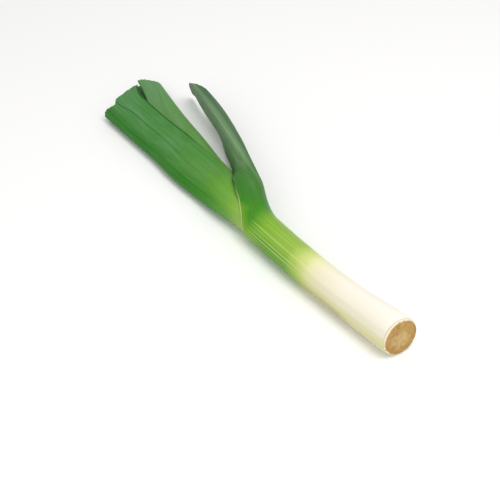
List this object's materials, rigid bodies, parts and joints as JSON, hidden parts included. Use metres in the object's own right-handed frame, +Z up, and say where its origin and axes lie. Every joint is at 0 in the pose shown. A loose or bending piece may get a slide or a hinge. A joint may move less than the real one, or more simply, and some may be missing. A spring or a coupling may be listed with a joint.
{
  "type": "leek",
  "caption": "Trimmed fresh leek lying on its side: a pale shank of nested leaf sheaths with a cut root plate, and folded green leaves cut short.",
  "frame": {"origin": "on the supporting surface, on the small flat strip under the shank, 100 mm from the root end", "axes": "+X along the leek from the root end towards the leaf tips, +Z up from the surface it lies on, +Y to its left"},
  "size_m": [0.46, 0.1065, 0.0371],
  "materials": {
    "root_plate": "matte",
    "outer_leaf": "satin",
    "broad_leaf": "satin",
    "inner_leaf": "satin",
    "core_leaf": "satin",
    "heart": "satin"
  },
  "bodies": {
    "root": {"root_plate": "root_plate", "leaf_1": "outer_leaf", "leaf_2": "broad_leaf", "leaf_3": "inner_leaf", "leaf_4": "core_leaf", "heart": "heart"}
  },
  "joints": []
}
